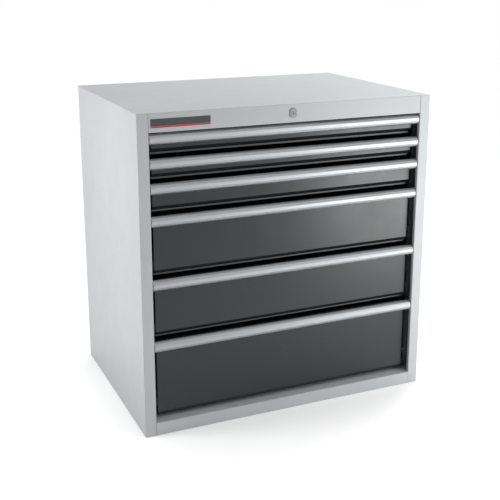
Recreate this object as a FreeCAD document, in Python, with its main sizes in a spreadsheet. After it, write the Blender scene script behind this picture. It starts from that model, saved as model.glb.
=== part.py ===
import FreeCAD, Part
import os
import Sketcher

# Steel drawer cabinet: folded-sheet housing, six drawers on telescopic runners, one central lock.
# Millimetres, +X right, front towards -Y, +Z up, origin under the centre of the footprint.

SIZES = {
    # housing
    "cab_width": 1000.0,
    "cab_height": 1020.0,
    "back_face": 350.0,
    "front_face": -347.0,
    "skin": 1.5,
    "stile_width": 36.0,
    "stile_depth": 28.0,
    "return_depth": 12.0,
    "rear_flange": 20.0,
    "fold_outer": 2.5,
    "fold_inner": 1.0,
    "rail_bottom": 962.0,
    "cover_flange": 15.5,
    "floor_top": 42.0,
    # base channels
    "channel_width": 60.0,
    "channel_wall": 3.0,
    "channel_front": -316.0,
    "channel_back": 340.0,
    "anchor_radius": 5.5,
    "anchor_x": 466.0,
    "anchor_y": 280.0,
    # perforated posts that carry the runners
    "post_face": 472.0,
    "post_width": 30.0,
    "post_front": -292.0,
    "post_back": 296.0,
    "post_top": 1002.0,
    "post_slot_width": 6.0,
    "post_slot_high": 12.0,
    "post_slot_first": 70.0,
    "post_slot_pitch": 25.0,
    "post_slot_count": 36.0,
    # telescopic runners
    "runner_lift": 14.0,
    "runner_high": 40.0,
    "runner_wall": 1.5,
    "runner_reach": 459.0,
    "runner_front": -298.0,
    "runner_back": 330.0,
    "slide_outer": 463.2,
    "slide_inner": 455.0,
    "slide_gap": 1.6,
    "slide_back": 322.0,
    "bar_gap": 1.2,
    "bar_outer": 453.8,
    "tray_half": 449.0,
    # drawers
    "panel_half": 450.0,
    "panel_recess": 27.0,
    "panel_wall": 1.5,
    "panel_top_drop": 3.0,
    "finger_gap": 15.0,
    "fold_high": 12.0,
    "fold_back": 7.0,
    "panel_depth": 15.0,
    "tray_wall": 1.2,
    "tray_back": 290.0,
    "tray_lift": 8.0,
    "tray_drop": 14.0,
    "tray_rim": 7.0,
    "last_lift": -5.0,
    "handle_half": 462.0,
    "handle_high": 34.0,
    "handle_wall": 2.0,
    "handle_proud": 0.5,
    "lip_back": 13.0,
    "lip_mid": 4.0,
    # central lock
    "lock_z": 991.0,
    "lock_plate_width": 23.0,
    "lock_plate_high": 29.0,
    "lock_plate_thick": 3.0,
    "lock_plate_corner": 8.0,
    "barrel_radius": 9.5,
    "barrel_back": -321.0,
    "plug_radius": 6.5,
    "plug_fit": 0.05,
    "key_width": 2.2,
    "key_high": 8.0,
    "key_deep": 14.0,
    "nut_radius": 14.0,
    "nut_thick": 5.0,
    "cam_radius": 12.0,
    "cam_front": -319.0,
    "cam_thick": 4.0,
    "pin_offset": 5.0,
    "pin_radius": 3.0,
    "pin_back": -309.5,
    "slider_front": -313.0,
    "slider_thick": 3.0,
    "slider_low": 978.0,
    "slider_top": 990.0,
    "slot_half": 3.8,
    "slot_floor": 979.5,
    "ramp_start": 462.0,
    "bar_left": 466.0,
    "bar_right": 478.0,
    "bar_front": -309.0,
    "bar_thick": 3.0,
    "bar_low": 62.0,
    "bar_top": 988.0,
    "peg_x": 472.0,
    "peg_z": 984.95,
    "hook_low": 53.0,
    "hook_high": 6.0,
    "hook_reach": 456.0,
    "catch_low": 60.5,
    "catch_high": 7.5,
    "catch_front": -304.5,
    "catch_thick": 3.5,
    "catch_reach": 461.0,
    # plate without marking
    "plate_left": -458.0,
    "plate_width": 186.0,
    "plate_low": 976.0,
    "plate_high": 26.0,
    "plate_thick": 0.8,
    # rivets
    "rivet_radius": 4.0,
    "rivet_high": 1.5,
    "rivet_x": 488.0,
    "rivet_first": 110.0,
    "rivet_pitch": 200.0,
}

# Height of each drawer's top edge and of its slot's floor, top drawer first.
SLOTS = [(958.0, 883.0), (883.0, 808.0), (808.0, 708.0), (708.0, 508.0), (508.0, 308.0), (308.0, 58.0)]

doc = FreeCAD.newDocument("DrawerCabinet")
sheet = doc.addObject("Spreadsheet::Sheet", "Sizes")
outputs = []


def fill_sheet():
    """Writes every driving dimension into the spreadsheet under its alias."""
    rows = dict(SIZES)
    for index, (top, floor) in enumerate(SLOTS, start=1):
        rows[f"slot_top_{index}"] = top
        rows[f"slot_floor_{index}"] = floor
    for row, (alias, value) in enumerate(rows.items(), start=1):
        sheet.set(f"A{row}", alias)
        sheet.set(f"B{row}", str(value))
        sheet.setAlias(f"B{row}", alias)
    doc.recompute()


def cell(text):
    """Turns an expression of plain aliases into one that names the sheet."""
    out = []
    word = ""
    for letter in text + " ":
        if letter.isalnum() or letter in "_.":
            word += letter
            continue
        if word and (word[0].isalpha()):
            word = "Sizes." + word
        out.append(word + letter)
        word = ""
    return "".join(out).strip()


def value(text):
    """The number that an expression of aliases gives now."""
    probe = doc.getObject("Probe") or doc.addObject("Part::Box", "Probe")
    probe.setExpression("Placement.Base.x", cell(text))
    probe.recompute()
    return probe.Placement.Base.x


def box(name, x0, x1, y0, y1, z0, z1):
    """A block between six expressions."""
    block = doc.addObject("Part::Box", name)
    block.setExpression("Length", cell(f"({x1}) - ({x0})"))
    block.setExpression("Width", cell(f"({y1}) - ({y0})"))
    block.setExpression("Height", cell(f"({z1}) - ({z0})"))
    block.setExpression("Placement.Base.x", cell(x0))
    block.setExpression("Placement.Base.y", cell(y0))
    block.setExpression("Placement.Base.z", cell(z0))
    return block


def rod(name, radius, x, y0, y1, z):
    """A round bar along Y from y0 to y1."""
    bar = doc.addObject("Part::Cylinder", name)
    bar.Placement = FreeCAD.Placement(FreeCAD.Vector(), FreeCAD.Rotation(FreeCAD.Vector(1, 0, 0), -90))
    bar.setExpression("Radius", cell(radius))
    bar.setExpression("Height", cell(f"({y1}) - ({y0})"))
    bar.setExpression("Placement.Base.x", cell(x))
    bar.setExpression("Placement.Base.y", cell(y0))
    bar.setExpression("Placement.Base.z", cell(z))
    return bar


def joined(name, pieces):
    """One solid from several touching pieces."""
    fuse = doc.addObject("Part::MultiFuse", name)
    fuse.Shapes = pieces
    fuse.Refine = True
    return fuse


def grouped(name, pieces):
    """Several separate solids kept in one node."""
    group = doc.addObject("Part::Compound", name)
    group.Links = pieces
    return group


def cut(name, base, tool):
    """The base with the tool's volume removed."""
    result = doc.addObject("Part::Cut", name)
    result.Base = base
    result.Tool = tool
    return result


def mirrored(name, source):
    """The same piece on the other side of the cabinet."""
    mirror = doc.addObject("Part::Mirroring", name)
    mirror.Source = source
    mirror.Normal = FreeCAD.Vector(1, 0, 0)
    return mirror


def part(obj, label):
    """Names a sub-part and lists it for writing."""
    obj.Label = label
    outputs.append(obj)
    return obj


def plane(body, role):
    """One of the body's own origin planes."""
    return next(f for f in body.Origin.OriginFeatures if f.Role == role)


def outline(body, role, offset, points):
    """A closed polygon sketch whose corners are set by expressions."""
    sketch = body.newObject("Sketcher::SketchObject", body.Name + "_outline")
    sketch.AttachmentSupport = (plane(body, role), [""])
    sketch.MapMode = "FlatFace"
    sketch.setExpression("AttachmentOffset.Base.z", cell(offset))
    corners = [FreeCAD.Vector(value(a), value(b), 0) for a, b in points]
    count = len(corners)
    for index in range(count):
        sketch.addGeometry(Part.LineSegment(corners[index], corners[(index + 1) % count]), False)
    for index in range(count):
        following = (index + 1) % count
        sketch.addConstraint(Sketcher.Constraint("Coincident", index, 2, following, 1))
    for index, (a, b) in enumerate(points):
        across = sketch.addConstraint(Sketcher.Constraint("DistanceX", -1, 1, index, 1, corners[index].x))
        sketch.setExpression(f"Constraints[{across}]", cell(a))
        along = sketch.addConstraint(Sketcher.Constraint("DistanceY", -1, 1, index, 1, corners[index].y))
        sketch.setExpression(f"Constraints[{along}]", cell(b))
    return sketch


def rectangle(half, near, far):
    """Corners of a rectangle centred across the cabinet."""
    return [(f"-({half})", near), (half, near), (half, far), (f"-({half})", far)]


def circle(body, role, offset, radius, x, y):
    """A circle sketch set by expressions."""
    sketch = body.newObject("Sketcher::SketchObject", body.Name + "_circle")
    sketch.AttachmentSupport = (plane(body, role), [""])
    sketch.MapMode = "FlatFace"
    sketch.setExpression("AttachmentOffset.Base.z", cell(offset))
    centre = FreeCAD.Vector(value(x), value(y), 0)
    sketch.addGeometry(Part.Circle(centre, FreeCAD.Vector(0, 0, 1), value(radius)), False)
    for kind, text, number in (("DistanceX", x, centre.x), ("DistanceY", y, centre.y)):
        index = sketch.addConstraint(Sketcher.Constraint(kind, -1, 1, 0, 3, number))
        sketch.setExpression(f"Constraints[{index}]", cell(text))
    index = sketch.addConstraint(Sketcher.Constraint("Radius", 0, value(radius)))
    sketch.setExpression(f"Constraints[{index}]", cell(radius))
    return sketch


def pad(body, sketch, length):
    """Raises a sketch by an expression along its plane's normal."""
    feature = body.newObject("PartDesign::Pad", body.Name + "_pad")
    feature.Profile = sketch
    feature.setExpression("Length", cell(length))
    doc.recompute()
    return feature


def pocket(body, sketch, length, backwards):
    """Cuts a sketch into the body and makes sure that it removed something."""
    before = body.Shape.Volume
    feature = body.newObject("PartDesign::Pocket", body.Name + "_pocket")
    feature.Profile = sketch
    feature.Reversed = backwards
    feature.setExpression("Length", cell(length))
    doc.recompute()
    if body.Shape.Volume >= before:
        raise RuntimeError(body.Name + ": the pocket cut nothing")
    return feature


def edges_at(shape, test):
    """Names of the straight edges whose two ends pass the test."""
    names = []
    for index, edge in enumerate(shape.Edges, start=1):
        ends = [v.Point for v in edge.Vertexes]
        if len(ends) == 2 and test(ends[0], ends[1]):
            names.append(f"Edge{index}")
    return names


def fillet(body, feature, names, radius):
    """Rounds named edges of the body's last feature."""
    rounded = body.newObject("PartDesign::Fillet", body.Name + "_fillet")
    rounded.Base = (feature, names)
    rounded.setExpression("Radius", cell(radius))
    doc.recompute()
    return rounded


def side_panel():
    """Folded side sheet with the front stile, its return and the rear flange, and its mirror."""
    outer = "-cab_width / 2"
    inner = "-cab_width / 2 + skin"
    stile = "-cab_width / 2 + stile_width"
    top = "cab_height - skin"
    rear = "back_face - skin"
    web = box("side_web", outer, inner, "front_face", rear, "0", top)
    front = box("side_stile", outer, stile, "front_face", "front_face + skin", "0", top)
    fold = box("side_return", f"{stile} - skin", stile, "front_face", "front_face + return_depth", "0", top)
    flange = box("side_flange", outer, f"{outer} + rear_flange", f"{rear} - skin", rear, "0", top)
    blank = joined("side_blank", [web, front, fold, flange])
    doc.recompute()
    left = folded("left_side_panel", blank)
    part(left, "left_side_panel")
    part(mirrored("right_side_panel", left), "right_side_panel")


def folded(name, blank):
    """Rounds the two front folds of the side sheet, outside and inside."""
    face = value("front_face")
    skin = value("skin")
    corners = {
        (value("-cab_width / 2"), face): "fold_outer",
        (value("-cab_width / 2 + stile_width"), face): "fold_outer",
        (value("-cab_width / 2 + skin"), face + skin): "fold_inner",
        (value("-cab_width / 2 + stile_width - skin"), face + skin): "fold_inner",
    }
    edges = []
    for index, edge in enumerate(blank.Shape.Edges, start=1):
        start, end = edge.Vertexes[0].Point, edge.Vertexes[-1].Point
        if abs(start.z - end.z) < skin:
            continue
        for (x, y), radius in corners.items():
            if abs(start.x - x) < 0.01 and abs(start.y - y) < 0.01:
                edges.append((index, value(radius), value(radius)))
    fold = doc.addObject("Part::Fillet", name)
    fold.Base = blank
    fold.Edges = edges
    return fold


def shell_panels():
    """Back sheet, top cover, floor sheet, front base rail and top rail."""
    half = "cab_width / 2"
    inside = "cab_width / 2 - skin"
    opening = "cab_width / 2 - stile_width"
    rear = "back_face - 2 * skin"
    under = "cab_height - skin"
    back = box("back_panel", f"-({inside})", inside, f"{rear} - skin", rear, "floor_top - skin", under)
    part(back, "back_panel")
    plate = box("cover_plate", f"-{half}", half, "front_face", "back_face", under, "cab_height")
    low = f"{under} - cover_flange"
    depth = ("front_face + skin + fold_outer", f"{rear} - skin")
    lip_left = box("cover_lip_left", f"-({inside})", f"-({inside}) + skin", *depth, low, under)
    lip_right = box("cover_lip_right", f"{inside} - skin", inside, *depth, low, under)
    part(joined("top_cover", [plate, lip_left, lip_right]), "top_cover")
    floor_low = "floor_top - skin"
    fold = "front_face + stile_depth"
    wide = box("floor_wide", f"-({inside})", inside, fold, f"{rear} - skin", floor_low, "floor_top")
    narrow = box("floor_narrow", f"-({opening})", opening, "front_face", fold, floor_low, "floor_top")
    part(joined("floor_panel", [wide, narrow]), "floor_panel")
    span = (f"-({opening})", opening, "front_face")
    apron = box("base_apron", *span, "front_face + skin", "0", floor_low)
    toe = box("base_toe", *span, fold, "0", "skin")
    part(joined("base_rail", [apron, toe]), "base_rail")
    face = box("rail_face", *span, "front_face + skin", "rail_bottom", under)
    ledge = box("rail_ledge", *span, fold, "rail_bottom", "rail_bottom + skin")
    lip = (f"-({opening})", opening, f"{fold} - skin", fold, "rail_bottom", "rail_bottom + 8")
    stiffener = box("rail_lip", *lip)
    blank = joined("rail_blank", [face, ledge, stiffener])
    hole = rod("rail_hole", "barrel_radius + 0.05", "0", "front_face - 1", "front_face + skin + 1", "lock_z")
    part(cut("top_rail", blank, hole), "top_rail")


def base_channels():
    """Channel along each side under the floor, with a hole at each end for a floor anchor."""
    outer = "-cab_width / 2 + skin"
    inner = f"{outer} + channel_width"
    top = "floor_top - skin"
    web = box("channel_web", outer, f"{outer} + channel_wall", "channel_front", "channel_back", "0", top)
    foot = box("channel_foot", outer, inner, "channel_front", "channel_back", "0", "channel_wall")
    head = box("channel_head", outer, inner, "channel_front", "channel_back", f"{top} - channel_wall", top)
    blank = joined("channel_blank", [web, foot, head])
    holes = []
    for name, y in (("front", "-anchor_y"), ("rear", "anchor_y")):
        hole = doc.addObject("Part::Cylinder", "anchor_" + name)
        hole.setExpression("Radius", cell("anchor_radius"))
        hole.setExpression("Height", cell("2 * channel_wall"))
        hole.setExpression("Placement.Base.x", cell("-anchor_x"))
        hole.setExpression("Placement.Base.y", cell(y))
        hole.Placement.Base.z = -1
        holes.append(hole)
    left = cut("base_channel_left", blank, joined("anchor_holes", holes))
    part(left, "base_channel_left")
    part(mirrored("base_channel_right", left), "base_channel_right")


def post(name, front):
    """One perforated post: a folded channel whose slotted web faces the drawers."""
    body = doc.addObject("PartDesign::Body", name)
    wall = "-cab_width / 2 + skin"
    face = "-post_face"
    inner = f"{face} - skin"
    y0, y1 = front, f"({front}) + post_width"
    points = [
        (wall, y0), (face, y0), (face, y1), (wall, y1),
        (wall, f"{y1} - skin"), (inner, f"{y1} - skin"), (inner, f"{y0} + skin"), (wall, f"{y0} + skin"),
    ]
    pad(body, outline(body, "XY_Plane", "floor_top", points), "post_top - floor_top")
    middle = f"{front} + post_width / 2"
    low = "post_slot_first"
    slot = [
        (f"{middle} - post_slot_width / 2", low), (f"{middle} + post_slot_width / 2", low),
        (f"{middle} + post_slot_width / 2", f"{low} + post_slot_high"),
        (f"{middle} - post_slot_width / 2", f"{low} + post_slot_high"),
    ]
    first = pocket(body, outline(body, "YZ_Plane", f"{face} + 1", slot), "skin + 2", False)
    pattern = body.newObject("PartDesign::LinearPattern", name + "_pattern")
    pattern.Originals = [first]
    pattern.Direction = (plane(body, "Z_Axis"), [""])
    pattern.setExpression("Length", cell("post_slot_pitch * (post_slot_count - 1)"))
    pattern.setExpression("Occurrences", cell("post_slot_count"))
    before = body.Shape.Volume
    body.Tip = pattern
    doc.recompute()
    if body.Shape.Volume >= before:
        raise RuntimeError(name + ": the pattern cut nothing")
    return body


def posts():
    """Front and rear posts of each side."""
    left = grouped("posts_left", [post("post_front", "post_front"), post("post_rear", "post_back")])
    part(left, "posts_left")
    part(mirrored("posts_right", left), "posts_right")


def channel_pair(name, open_side, web_side, low, high, front, back):
    """A channel along Y that opens towards the drawer, with its mirror image."""
    web = box(name + "_web", f"-{web_side}", f"-{web_side} + runner_wall", front, back, low, high)
    foot = box(name + "_foot", f"-{web_side}", f"-{open_side}", front, back, low, f"{low} + runner_wall")
    head = box(name + "_head", f"-{web_side}", f"-{open_side}", front, back, f"{high} - runner_wall", high)
    left = joined(name + "_left", [web, foot, head])
    return [left, mirrored(name + "_right", left)]


def runners(index):
    """Fixed runners, sliding members and the bars on the drawer for one slot."""
    low = f"slot_floor_{index} + runner_lift"
    high = f"{low} + runner_high"
    span = ("runner_front", "runner_back")
    fixed = channel_pair(f"fixed_{index}", "runner_reach", "post_face", low, high, *span)
    part(grouped(f"runner_{index}", fixed), f"runner_{index}")
    mid_low = f"{low} + runner_wall + slide_gap"
    mid_high = f"{high} - runner_wall - slide_gap"
    span = ("front_face + stile_depth + 2", "slide_back")
    moving = channel_pair(f"moving_{index}", "slide_inner", "slide_outer", mid_low, mid_high, *span)
    part(grouped(f"slide_{index}", moving), f"slide_{index}")
    bar_low = f"{mid_low} + runner_wall + bar_gap"
    bar_high = f"{mid_high} - runner_wall - bar_gap"
    start = "front_face + panel_recess + panel_depth"
    bar = box(f"bar_{index}", "-bar_outer", "-tray_half", start, "tray_back", bar_low, bar_high)
    return [bar, mirrored(f"bar_{index}_right", bar)]


def tray(index):
    """Open drawer box whose walls end in a narrow rim folded inwards."""
    lift = "last_lift + tray_lift" if index == len(SLOTS) else "tray_lift"
    low = f"slot_floor_{index} + {lift}"
    high = f"slot_top_{index} - tray_drop"
    front = "front_face + panel_recess + panel_depth"
    body = doc.addObject("PartDesign::Body", f"tray_{index}")
    outer = rectangle("tray_half", front, "tray_back")
    pad(body, outline(body, "XY_Plane", low, outer), f"({high}) - ({low})")
    wall, rim = "tray_wall", "tray_rim"
    room = rectangle(f"tray_half - {wall}", f"{front} + {wall}", f"tray_back - {wall}")
    inside = outline(body, "XY_Plane", f"{high} - {wall}", room)
    pocket(body, inside, f"({high}) - ({low}) - 2 * {wall}", False)
    mouth = rectangle(f"tray_half - {rim}", f"{front} + {rim}", f"tray_back - {rim}")
    pocket(body, outline(body, "XY_Plane", high, mouth), f"2 * {wall}", False)
    part(body, f"tray_{index}")


def front_panel(index):
    """Recessed front pan, open at the back, with its lower edge folded away from the fingers."""
    last = index == len(SLOTS)
    low = f"slot_floor_{index} + last_lift" if last else f"slot_floor_{index} + finger_gap"
    high = f"slot_top_{index} - panel_top_drop"
    face = "front_face + panel_recess"
    rear = f"{face} + panel_depth"
    wall = "panel_wall"
    body = doc.addObject("PartDesign::Body", f"front_{index}")
    skin = [
        (face, high), (face, f"{low} + fold_high"), (f"{face} + fold_back", low),
        (rear, low), (rear, high),
    ]
    pad(body, outline(body, "YZ_Plane", "-panel_half", skin), "2 * panel_half")
    hollow = [
        (f"{face} + {wall}", f"{high} - {wall}"), (f"{face} + {wall}", f"{low} + fold_high + 0.4"),
        (f"{face} + fold_back + 0.6 * {wall}", f"{low} + {wall}"),
        (f"{rear} + 1", f"{low} + {wall}"), (f"{rear} + 1", f"{high} - {wall}"),
    ]
    inside = outline(body, "YZ_Plane", f"-panel_half + {wall}", hollow)
    pocket(body, inside, f"2 * (panel_half - {wall})", True)
    part(body, f"front_{index}")


def handle(index):
    """Full-width grip extrusion: a bowed shell on a middle web, with a finger groove above and below."""
    low = f"slot_top_{index} - handle_high"
    nose = "front_face + handle_proud"
    bend = f"{nose} + lip_mid"
    lip = "front_face + lip_back"
    back = "front_face + panel_recess"
    inner = f"{nose} + handle_wall"
    flange = f"{back} - handle_wall"
    body = doc.addObject("PartDesign::Body", f"handle_{index}")
    points = [
        (lip, low), (bend, f"{low} + 5"), (nose, f"{low} + 12"),
        (nose, f"{low} + 22"), (bend, f"{low} + 29"), (lip, f"{low} + 34"),
        (f"{lip} + 1.2", f"{low} + 32.4"), (f"{bend} + 1.4", f"{low} + 27.4"), (inner, f"{low} + 21.5"),
        (inner, f"{low} + 18"), (flange, f"{low} + 18"), (flange, f"{low} + 30"), (back, f"{low} + 30"),
        (back, f"{low} + 4"), (flange, f"{low} + 4"), (flange, f"{low} + 16"), (inner, f"{low} + 16"),
        (inner, f"{low} + 12.5"), (f"{bend} + 1.4", f"{low} + 6.6"), (f"{lip} + 1.2", f"{low} + 1.6"),
    ]
    pad(body, outline(body, "YZ_Plane", "-handle_half", points), "2 * handle_half")
    part(body, f"handle_{index}")


def drawer(index):
    """Tray, front panel, grip and the two bars with the lock catch."""
    tray(index)
    front_panel(index)
    handle(index)
    bars = runners(index)
    low = f"slot_floor_{index} + catch_low"
    catch = box(
        f"catch_{index}", "tray_half", "catch_reach", "catch_front", "catch_front + catch_thick",
        low, f"{low} + catch_high - 0.5",
    )
    part(grouped(f"drawer_bars_{index}", bars + [catch]), f"drawer_bars_{index}")


def lock_body():
    """Lock plate with its barrel, the nut behind the rail, the turning plug and its cam."""
    body = doc.addObject("PartDesign::Body", "lock_housing")
    wide, high = "lock_plate_width / 2", "lock_plate_high / 2"
    points = [
        (f"-{wide}", f"lock_z - {high}"), (wide, f"lock_z - {high}"),
        (wide, f"lock_z + {high}"), (f"-{wide}", f"lock_z + {high}"),
    ]
    plate = pad(body, outline(body, "XZ_Plane", "-front_face", points), "lock_plate_thick")
    corners = edges_at(plate.Shape, lambda a, b: abs(a.x - b.x) < 0.01 and abs(a.z - b.z) < 0.01)
    fillet(body, plate, corners, "lock_plate_corner")
    barrel = circle(body, "XZ_Plane", "-barrel_back", "barrel_radius", "0", "lock_z")
    pad(body, barrel, "barrel_back - front_face")
    bore = circle(body, "XZ_Plane", "-barrel_back - 1", "plug_radius + plug_fit", "0", "lock_z")
    pocket(body, bore, "60", True)
    part(body, "lock_housing")
    ring = rod("nut_blank", "nut_radius", "0", "front_face + skin", "front_face + skin + nut_thick", "lock_z")
    past = "front_face + skin + nut_thick + 1"
    hole = rod("nut_hole", "barrel_radius + 0.02", "0", "front_face", past, "lock_z")
    part(cut("lock_nut", ring, hole), "lock_nut")
    core = rod("plug_core", "plug_radius", "0", "front_face - lock_plate_thick", "cam_front", "lock_z")
    key = box(
        "plug_key", "-key_width / 2", "key_width / 2", "front_face - lock_plate_thick - 1",
        "front_face + key_deep", "lock_z - key_high / 2", "lock_z + key_high / 2",
    )
    part(cut("lock_plug", core, key), "lock_plug")
    disc = rod("cam_disc", "cam_radius", "0", "cam_front", "cam_front + cam_thick", "lock_z")
    pin = rod("cam_pin", "pin_radius", "-pin_offset", "cam_front", "pin_back", "lock_z - pin_offset")
    part(joined("lock_cam", [disc, pin]), "lock_cam")


def lock_linkage():
    """Sideways slider with the cam notch and lifting ramp, and the upright bar with its hooks."""
    body = doc.addObject("PartDesign::Body", "lock_slider")
    slot_left, slot_right = "-pin_offset - slot_half", "-pin_offset + slot_half"
    points = [
        ("-pin_offset - 14", "slider_low - 6"), ("-pin_offset + 14", "slider_low - 6"),
        ("-pin_offset + 20", "slider_low"), ("ramp_start + slider_top - slider_low", "slider_low"),
        ("ramp_start", "slider_top"), (slot_right, "slider_top"), (slot_right, "slot_floor"),
        (slot_left, "slot_floor"), (slot_left, "slider_top"), ("-pin_offset - 14", "slider_top"),
    ]
    pad(body, outline(body, "XZ_Plane", "-slider_front - slider_thick", points), "slider_thick")
    part(body, "lock_slider")
    depth = ("bar_front", "bar_front + bar_thick")
    strip = box("bar_strip", "bar_left", "bar_right", *depth, "bar_low", "bar_top")
    peg = rod("bar_peg", "pin_radius", "peg_x", "slider_front", "bar_front + bar_thick", "peg_z")
    part(joined("lock_bar", [strip, peg]), "lock_bar")
    hooks = []
    for index in range(1, len(SLOTS) + 1):
        low = f"slot_floor_{index} + hook_low"
        hooks.append(box(f"hook_{index}", "hook_reach", "bar_left", *depth, low, f"{low} + hook_high"))
    part(grouped("lock_hooks", hooks), "lock_hooks")


def small_parts():
    """Blank plate on the top rail, guides of the lock bar and the rivets of the back."""
    plate = box(
        "plate_blank", "plate_left", "plate_left + plate_width", "front_face - plate_thick", "front_face",
        "plate_low", "plate_low + plate_high",
    )
    part(plate, "name_plate")
    guides = []
    for index, z in enumerate((110, 430, 760), start=1):
        wall = "cab_width / 2 - skin"
        rear = "bar_front + bar_thick + 2"
        tall = (f"{z}", f"{z} + 14")
        back = box(f"guide_back_{index}", "bar_left", wall, f"{rear} - 1.5", rear, *tall)
        front = box(f"guide_front_{index}", "bar_left + 4", wall, "bar_front - 2", "bar_front - 0.5", *tall)
        web = box(f"guide_web_{index}", "bar_right + 1", wall, "bar_front - 2", rear, *tall)
        guides.append(joined(f"guide_{index}", [back, front, web]))
    part(grouped("lock_guides", guides), "lock_guides")
    hangers = []
    front, rear = "slider_front - 3", "slider_front + slider_thick + 3"
    for index, x in enumerate((110, 400), start=1):
        side = (f"{x}", f"{x} + 18")
        tall = ("slider_low - 5", "cab_height - skin")
        near = box(f"hanger_front_{index}", *side, front, f"{front} + 2", *tall)
        far = box(f"hanger_rear_{index}", *side, f"{rear} - 2", rear, *tall)
        web = box(f"hanger_web_{index}", *side, front, rear, "slider_low - 5", "slider_low - 0.5")
        hangers.append(joined(f"hanger_{index}", [near, far, web]))
    part(grouped("slider_hangers", hangers), "slider_hangers")
    rivets = []
    for side, x in (("left", "-rivet_x"), ("right", "rivet_x")):
        for step in range(5):
            z = f"rivet_first + {step} * rivet_pitch"
            depth = ("back_face - skin", "back_face - skin + rivet_high")
            rivets.append(rod(f"rivet_{side}_{step}", "rivet_radius", x, *depth, z))
    part(grouped("back_rivets", rivets), "back_rivets")


def write_parts():
    """Checks every object and writes one file for each sub-part."""
    doc.removeObject("Probe")
    doc.recompute()
    for obj in doc.Objects:
        if "Invalid" in obj.State or "Error" in obj.State:
            raise RuntimeError(f"{obj.Name}: {obj.State}")
    os.makedirs("parts", exist_ok=True)
    for obj in outputs:
        shape = obj.Shape
        if shape.isNull() or not shape.isValid():
            raise RuntimeError(obj.Label + ": bad shape")
        shape.exportStep(f"parts/{obj.Label}.step")
        bounds = shape.BoundBox
        print(f"{obj.Label:22s} solids {len(shape.Solids):2d} volume {shape.Volume:12.1f}", end=" ")
        print(f"x {bounds.XMin:8.2f} {bounds.XMax:8.2f} y {bounds.YMin:8.2f} {bounds.YMax:8.2f}", end=" ")
        print(f"z {bounds.ZMin:8.2f} {bounds.ZMax:8.2f}")


fill_sheet()
side_panel()
shell_panels()
base_channels()
posts()
for number in range(1, len(SLOTS) + 1):
    drawer(number)
lock_body()
lock_linkage()
small_parts()
write_parts()
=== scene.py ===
import math

import bpy
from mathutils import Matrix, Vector


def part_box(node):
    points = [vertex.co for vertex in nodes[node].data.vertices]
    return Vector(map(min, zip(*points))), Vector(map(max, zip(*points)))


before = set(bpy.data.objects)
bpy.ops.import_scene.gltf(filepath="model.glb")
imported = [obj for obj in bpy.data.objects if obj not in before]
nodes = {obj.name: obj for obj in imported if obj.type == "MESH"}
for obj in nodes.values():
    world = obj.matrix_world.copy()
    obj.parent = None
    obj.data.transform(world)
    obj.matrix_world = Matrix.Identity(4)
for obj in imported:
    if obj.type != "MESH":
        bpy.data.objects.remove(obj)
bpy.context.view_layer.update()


# ---------------------------------------------------------------- node helpers


class Tree:
    """Short calls for building one procedural material."""

    def __init__(self, name):
        self.material = bpy.data.materials.new(name)
        self.material.use_nodes = True
        self.tree = self.material.node_tree
        self.shader = self.tree.nodes["Principled BSDF"]
        self.coords = self.tree.nodes.new("ShaderNodeTexCoord")

    def node(self, kind, inputs=None, **settings):
        made = self.tree.nodes.new(kind)
        for key, number in settings.items():
            setattr(made, key, number)
        for key, number in (inputs or {}).items():
            made.inputs[key].default_value = number
        return made

    def link(self, source, target):
        self.tree.links.new(source, target)

    def stretched(self, scale):
        """Object coordinates scaled along each axis."""
        mapping = self.node("ShaderNodeMapping", {"Scale": scale})
        self.link(self.coords.outputs["Object"], mapping.inputs["Vector"])
        return mapping.outputs["Vector"]

    def noise(self, scale, detail=3.0, rough=0.5, vector=None):
        """A noise value over the object."""
        made = self.node("ShaderNodeTexNoise", {"Scale": scale, "Detail": detail, "Roughness": rough})
        self.link(vector or self.coords.outputs["Object"], made.inputs["Vector"])
        return made.outputs["Fac"]

    def ramp(self, value, stops):
        """A colour ramp from (position, grey or colour) stops."""
        made = self.node("ShaderNodeValToRGB")
        elements = made.color_ramp.elements
        while len(elements) < len(stops):
            elements.new(0.5)
        for element, (position, colour) in zip(elements, stops):
            element.position = position
            element.color = (*colour, 1.0) if isinstance(colour, tuple) else (*[colour] * 3, 1.0)
        self.link(value, made.inputs["Fac"])
        return made.outputs["Color"]

    def bump(self, heights):
        """Chains bumps of (height, strength, distance) into the shader's normal."""
        normal = None
        for height, strength, distance in heights:
            made = self.node("ShaderNodeBump", {"Strength": strength, "Distance": distance})
            self.link(height, made.inputs["Height"])
            if normal is not None:
                self.link(normal, made.inputs["Normal"])
            normal = made.outputs["Normal"]
        self.link(normal, self.shader.inputs["Normal"])

    def set(self, **sockets):
        """Sets values that are the same all over the surface."""
        for key, number in sockets.items():
            self.shader.inputs[key.replace("_", " ")].default_value = number


def shade(colour, factor):
    return tuple(channel * factor for channel in colour)


def powder_coat(name, colour, rough, peel=0.12, spread=0.03):
    """Satin powder coat: faint cloudiness, fine orange peel and a slightly uneven sheen."""
    t = Tree(name)
    cloud = t.noise(3.2, detail=4.0, rough=0.55)
    low, high = shade(colour, 1.0 - spread), shade(colour, 1.0 + spread)
    t.link(t.ramp(cloud, [(0.3, low), (0.7, high)]), t.shader.inputs["Base Color"])
    sheen = t.noise(14.0, detail=5.0, rough=0.6)
    t.link(t.ramp(sheen, [(0.3, rough - 0.04), (0.7, rough + 0.04)]), t.shader.inputs["Roughness"])
    coarse, fine = t.noise(420.0, detail=2.0), t.noise(1600.0, detail=1.0)
    t.bump([(coarse, peel, 0.0004), (fine, peel * 0.5, 0.0001)])
    t.set(Metallic=0.0)
    return t


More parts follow.
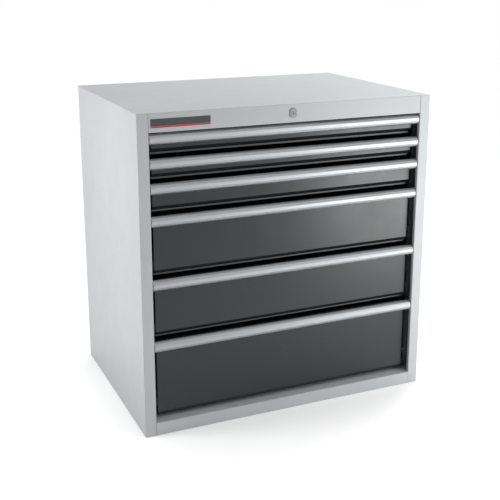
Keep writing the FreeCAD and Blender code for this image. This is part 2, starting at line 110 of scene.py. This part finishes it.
def extruded_aluminium(name, colour, rough):
    """Satin anodised extrusion: fine die lines along the length and a soft sheen."""
    t = Tree(name)
    lines = t.noise(1.0, detail=6.0, rough=0.65, vector=t.stretched((1.5, 900.0, 900.0)))
    broad = t.noise(1.0, detail=3.0, vector=t.stretched((2.0, 60.0, 60.0)))
    tint = t.ramp(lines, [(0.25, shade(colour, 0.9)), (0.75, shade(colour, 1.07))])
    t.link(tint, t.shader.inputs["Base Color"])
    t.link(t.ramp(broad, [(0.3, rough - 0.05), (0.7, rough + 0.06)]), t.shader.inputs["Roughness"])
    t.bump([(lines, 0.18, 0.0002), (t.noise(2200.0, detail=1.0), 0.05, 0.0001)])
    t.set(Metallic=0.85)
    return t


def zinc_plate(name, colour, rough):
    """Zinc-plated sheet: small crystals of slightly different grey under a passivated sheen."""
    t = Tree(name)
    cells = t.node("ShaderNodeTexVoronoi", {"Scale": 130.0})
    t.link(t.coords.outputs["Object"], cells.inputs["Vector"])
    tint = t.ramp(cells.outputs["Distance"], [(0.0, shade(colour, 0.88)), (0.8, shade(colour, 1.08))])
    t.link(tint, t.shader.inputs["Base Color"])
    smear = t.noise(25.0, detail=5.0)
    t.link(t.ramp(smear, [(0.3, rough - 0.07), (0.7, rough + 0.1)]), t.shader.inputs["Roughness"])
    t.bump([(t.noise(700.0, detail=2.0), 0.08, 0.0002)])
    t.set(Metallic=0.9)
    return t


def satin_nickel(name, colour, rough):
    """Bare satin metal of the lock and rivets, with very fine tool marks."""
    t = Tree(name)
    marks = t.noise(1.0, detail=4.0, vector=t.stretched((1800.0, 200.0, 1800.0)))
    tint = t.ramp(marks, [(0.3, shade(colour, 0.92)), (0.7, shade(colour, 1.05))])
    t.link(tint, t.shader.inputs["Base Color"])
    t.link(t.ramp(t.noise(90.0), [(0.3, rough - 0.05), (0.7, rough + 0.08)]), t.shader.inputs["Roughness"])
    t.bump([(marks, 0.1, 0.0001)])
    t.set(Metallic=1.0)
    return t


def lined_plate(name, colour, line, centre, height):
    """Blank dark plate with one thin printed line, level at the height of its centre."""
    t = Tree(name)
    split = t.node("ShaderNodeSeparateXYZ")
    t.link(t.coords.outputs["Object"], split.inputs["Vector"])
    offset = t.node("ShaderNodeMath", {1: centre}, operation="SUBTRACT")
    t.link(split.outputs["Z"], offset.inputs[0])
    size = t.node("ShaderNodeMath", operation="ABSOLUTE")
    t.link(offset.outputs["Value"], size.inputs[0])
    inside = t.node("ShaderNodeMath", {1: height / 2}, operation="LESS_THAN")
    t.link(size.outputs["Value"], inside.inputs[0])
    mix = t.node("ShaderNodeMix", data_type="RGBA")
    plain, printed = [socket for socket in mix.inputs if socket.type == "RGBA"]
    mixed = next(socket for socket in mix.outputs if socket.type == "RGBA")
    dark = t.ramp(t.noise(60.0, detail=3.0), [(0.3, shade(colour, 0.9)), (0.7, shade(colour, 1.1))])
    t.link(inside.outputs["Value"], mix.inputs["Factor"])
    t.link(dark, plain)
    printed.default_value = (*line, 1.0)
    t.link(mixed, t.shader.inputs["Base Color"])
    t.link(t.ramp(t.noise(40.0), [(0.3, 0.3), (0.7, 0.38)]), t.shader.inputs["Roughness"])
    t.bump([(t.noise(1500.0, detail=1.0), 0.05, 0.0001)])
    return t


def finish_with(material, *names):
    """Puts one material on CAD nodes."""
    for name in names:
        for slot in nodes[name].material_slots:
            slot.link = "OBJECT"
            slot.material = material


def rounded(width, segments, *names):
    """Joins the faces of CAD nodes along their edges and breaks the sharp ones."""
    for name in names:
        weld = nodes[name].modifiers.new("edge_join", "WELD")
        weld.merge_threshold = WELD_REACH
        bevel = nodes[name].modifiers.new("edge_break", "BEVEL")
        bevel.width = width
        bevel.segments = segments
        bevel.limit_method = "ANGLE"
        bevel.angle_limit = SHARP_ANGLE
        bevel.harden_normals = True


# ---------------------------------------------------------------- finishes

DRAWERS = range(1, 7)
WELD_REACH = 0.00002
SHARP_ANGLE = math.radians(25)
PLATE_LINE_LIFT = 0.0035
PLATE_LINE_HEIGHT = 0.003

LIGHT_GREY = (0.358, 0.372, 0.377)
ANTHRACITE = (0.005, 0.0072, 0.0086)
DARK_GREY = (0.10, 0.105, 0.11)
ALUMINIUM = (0.36, 0.37, 0.38)
ZINC = (0.24, 0.245, 0.25)
NICKEL = (0.2, 0.2, 0.2)
RIVET = (0.6, 0.6, 0.6)
PLATE = (0.035, 0.035, 0.038)
RED = (0.55, 0.02, 0.02)

housing = powder_coat("light_grey_coat", LIGHT_GREY, 0.42)
fronts = powder_coat("anthracite_coat", ANTHRACITE, 0.31, peel=0.04, spread=0.08)
trays = powder_coat("tray_coat", DARK_GREY, 0.45)
bars = extruded_aluminium("anodised_bar", ALUMINIUM, 0.5)
zinc = zinc_plate("zinc_plated_steel", ZINC, 0.45)
nickel = satin_nickel("satin_nickel", NICKEL, 0.5)
rivet = satin_nickel("rivet_aluminium", RIVET, 0.45)
line_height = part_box("name_plate")[0].z + PLATE_LINE_LIFT
plate = lined_plate("blank_plate", PLATE, RED, line_height, PLATE_LINE_HEIGHT)


def numbered(*kinds):
    """Node names of some kinds of piece on every drawer."""
    return [f"{kind}_{i}" for kind in kinds for i in DRAWERS]


shell = ["left_side_panel", "right_side_panel", "back_panel", "top_cover"]
shell += ["floor_panel", "base_rail", "top_rail"]
steel = ["base_channel_left", "base_channel_right", "posts_left", "posts_right"]
steel += ["lock_guides", "slider_hangers", "lock_nut", "lock_cam"]
steel += ["lock_slider", "lock_bar", "lock_hooks", *numbered("runner", "slide", "drawer_bars")]

finish_with(housing.material, *shell)
finish_with(zinc.material, *steel)
finish_with(fronts.material, *numbered("front"))
finish_with(trays.material, *numbered("tray"))
finish_with(bars.material, *numbered("handle"))
finish_with(nickel.material, "lock_housing", "lock_plug")
finish_with(rivet.material, "back_rivets")
finish_with(plate.material, "name_plate")

rounded(0.0005, 2, *shell)
rounded(0.0004, 2, *numbered("front", "tray"))
rounded(0.0006, 3, *numbered("handle"))
rounded(0.0003, 2, "name_plate", "lock_housing", "lock_plug")

# ---------------------------------------------------------------- floor, light, camera


FLOOR_SIZE = 60.0
FLOOR_DROP = 0.0005
WHITE = (1.0, 1.0, 1.0, 1.0)
WORLD_LEFT = 0.22
WORLD_RIGHT = 0.82
SKY_STRENGTH = 1.95
SKY_SPREAD = math.radians(80.0)
SKY_TILT = (math.radians(-8.0), math.radians(10.0), 0.0)
CAMERA_PLACE = (-1.2438, -2.8387, 1.4303)
CAMERA_PITCH = math.radians(90.0 - 14.41)
CAMERA_TURN = math.radians(-23.8)


def studio_floor():
    """A pale, faintly mottled studio floor."""
    bpy.ops.mesh.primitive_plane_add(size=FLOOR_SIZE, location=(0.0, 0.0, -FLOOR_DROP))
    floor = bpy.context.object
    floor.name = "studio_floor"
    t = Tree("pale_floor")
    t.link(t.ramp(t.noise(0.8), [(0.3, 0.9), (0.7, 0.92)]), t.shader.inputs["Base Color"])
    t.set(Roughness=0.9, Specular_IOR_Level=0.1)
    floor.data.materials.append(t.material)


def softbox(name, place, aim, width, height, watts):
    """A rectangular area light pointed at a place."""
    data = bpy.data.lights.new(name, "AREA")
    data.shape = "RECTANGLE"
    data.size = width
    data.size_y = height
    data.energy = watts
    light = bpy.data.objects.new(name, data)
    light.location = place
    light.rotation_euler = (Vector(aim) - Vector(place)).to_track_quat("-Z", "Y").to_euler()
    light.visible_camera = False
    bpy.context.scene.collection.objects.link(light)
    return light


def studio_world():
    """White surroundings: brighter towards the right, and clean white where the background shows."""
    world = bpy.data.worlds.new("studio_world")
    world.use_nodes = True
    tree = world.node_tree
    lit = tree.nodes["Background"]
    coords = tree.nodes.new("ShaderNodeTexCoord")
    split = tree.nodes.new("ShaderNodeSeparateXYZ")
    spread = tree.nodes.new("ShaderNodeMapRange")
    spread.inputs["From Min"].default_value = -1.0
    spread.inputs["From Max"].default_value = 1.0
    spread.inputs["To Min"].default_value = WORLD_LEFT
    spread.inputs["To Max"].default_value = WORLD_RIGHT
    tree.links.new(coords.outputs["Generated"], split.inputs["Vector"])
    tree.links.new(split.outputs["X"], spread.inputs["Value"])
    tree.links.new(spread.outputs["Result"], lit.inputs["Strength"])
    lit.inputs["Color"].default_value = WHITE
    clean = tree.nodes.new("ShaderNodeBackground")
    clean.inputs["Color"].default_value = WHITE
    path = tree.nodes.new("ShaderNodeLightPath")
    mix = tree.nodes.new("ShaderNodeMixShader")
    tree.links.new(path.outputs["Is Camera Ray"], mix.inputs["Fac"])
    tree.links.new(lit.outputs["Background"], mix.inputs[1])
    tree.links.new(clean.outputs["Background"], mix.inputs[2])
    tree.links.new(mix.outputs["Shader"], tree.nodes["World Output"].inputs["Surface"])
    bpy.context.scene.world = world


def lighting():
    """Small key at the left, box at the right front, fill from the upper right and a broad soft sky."""
    softbox("key_left", (-1.6, -0.05, 0.95), (-0.5, -0.05, 0.75), 0.5, 0.35, 13.0)
    softbox("right_front", (1.3, -1.5, 0.52), (0.75, -0.35, 0.47), 0.9, 0.95, 19.0)
    softbox("upper_right", (1.2, 0.5, 2.2), (0.4, 0.1, 1.02), 0.9, 0.9, 17.0)
    data = bpy.data.lights.new("sky", "SUN")
    data.energy = SKY_STRENGTH
    data.angle = SKY_SPREAD
    sky = bpy.data.objects.new("sky", data)
    sky.rotation_euler = SKY_TILT
    bpy.context.scene.collection.objects.link(sky)


def camera():
    """The main viewing angle: tilted down a little, with a small lens shift."""
    data = bpy.data.cameras.new("main_camera")
    data.sensor_width = 36.0
    data.lens = 65.75
    data.shift_y = -0.10
    data.clip_end = 200.0
    made = bpy.data.objects.new("main_camera", data)
    made.location = CAMERA_PLACE
    made.rotation_euler = (CAMERA_PITCH, 0.0, CAMERA_TURN)
    bpy.context.scene.collection.objects.link(made)
    bpy.context.scene.camera = made


studio_floor()
studio_world()
lighting()
camera()
bpy.context.scene.view_settings.view_transform = "Standard"
